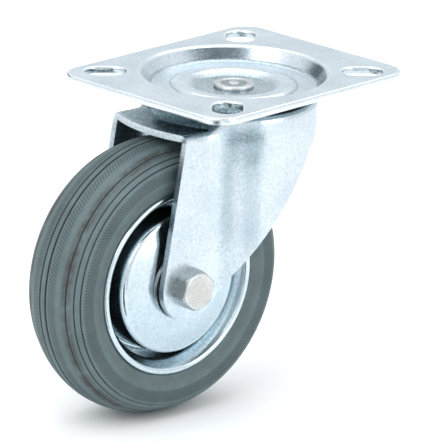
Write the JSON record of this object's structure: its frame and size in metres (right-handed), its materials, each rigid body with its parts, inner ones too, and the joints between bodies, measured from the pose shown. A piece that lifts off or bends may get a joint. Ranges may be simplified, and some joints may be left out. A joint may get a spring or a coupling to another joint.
{
  "type": "swivel castor wheel",
  "caption": "Swivel wheel for a gate: slotted top plate on a double ball race, pressed steel fork and a rubber-tyred pressed steel wheel on a roller bearing.",
  "frame": {"origin": "centre of the top plate's mounting face, on the kingpin's axis", "axes": "+Z out of the mounting face, towards what the wheel is bolted to; X along the plate's longer side, Y along its shorter side. The fork trails towards -X, set 5 degrees about the kingpin"},
  "size_m": [0.1332, 0.081, 0.118],
  "materials": {
    "zinc_sheet": "bright zinc plate on pressed sheet, satin with a faint blue cast",
    "zinc_fastener": "dull zinc plate on a forged fastener",
    "bright_steel": "turned and drawn steel",
    "bearing_steel": "polished and greased",
    "grey_rubber": "matt moulded grey rubber",
    "nylon": "natural nylon"
  },
  "bodies": {
    "plate": {"top_plate": "zinc_sheet", "kingpin": "bright_steel", "lower_race_cup": "zinc_sheet"},
    "upper_balls": {"upper_ball_row": "bearing_steel"},
    "lower_balls": {"lower_ball_row": "bearing_steel"},
    "fork": {"swivel_fork": "zinc_sheet", "axle_bolt": "zinc_fastener", "axle_sleeve": "bright_steel", "axle_nut": "zinc_fastener", "nut_insert": "nylon", "spring_washer": "zinc_fastener", "hub_washer_left": "zinc_fastener", "hub_washer_right": "zinc_fastener"},
    "wheel": {"tyre": "grey_rubber", "rim_disc_left": "zinc_sheet", "rim_disc_right": "zinc_sheet", "hub_tube": "bright_steel", "bearing_ring_left": "bright_steel", "bearing_ring_right": "bright_steel"},
    "cage": {"roller_cage": "nylon", "rollers": "bearing_steel"}
  },
  "joints": [
    {"name": "swivel", "type": "hinge", "parent": "plate", "child": "fork", "pos_m": [0, 0, 0], "axis": [0, 0, 1], "continuous": true},
    {"name": "wheel_spin", "type": "hinge", "parent": "fork", "child": "wheel", "pos_m": [-0.03536, 0.00309, -0.068], "axis": [0.0872, 0.9962, 0], "continuous": true},
    {"name": "upper_ball_orbit", "type": "hinge", "parent": "plate", "child": "upper_balls", "pos_m": [0, 0, 0], "axis": [0, 0, 1], "continuous": true},
    {"name": "lower_ball_orbit", "type": "hinge", "parent": "plate", "child": "lower_balls", "pos_m": [0, 0, 0], "axis": [0, 0, 1], "continuous": true},
    {"name": "cage_orbit", "type": "hinge", "parent": "fork", "child": "cage", "pos_m": [-0.03536, 0.00309, -0.068], "axis": [0.0872, 0.9962, 0], "continuous": true}
  ],
  "couplings": [
    {"joint": "upper_ball_orbit", "follows": "swivel", "ratio": 0.5},
    {"joint": "lower_ball_orbit", "follows": "swivel", "ratio": 0.5},
    {"joint": "cage_orbit", "follows": "wheel_spin", "ratio": 0.6026}
  ]
}
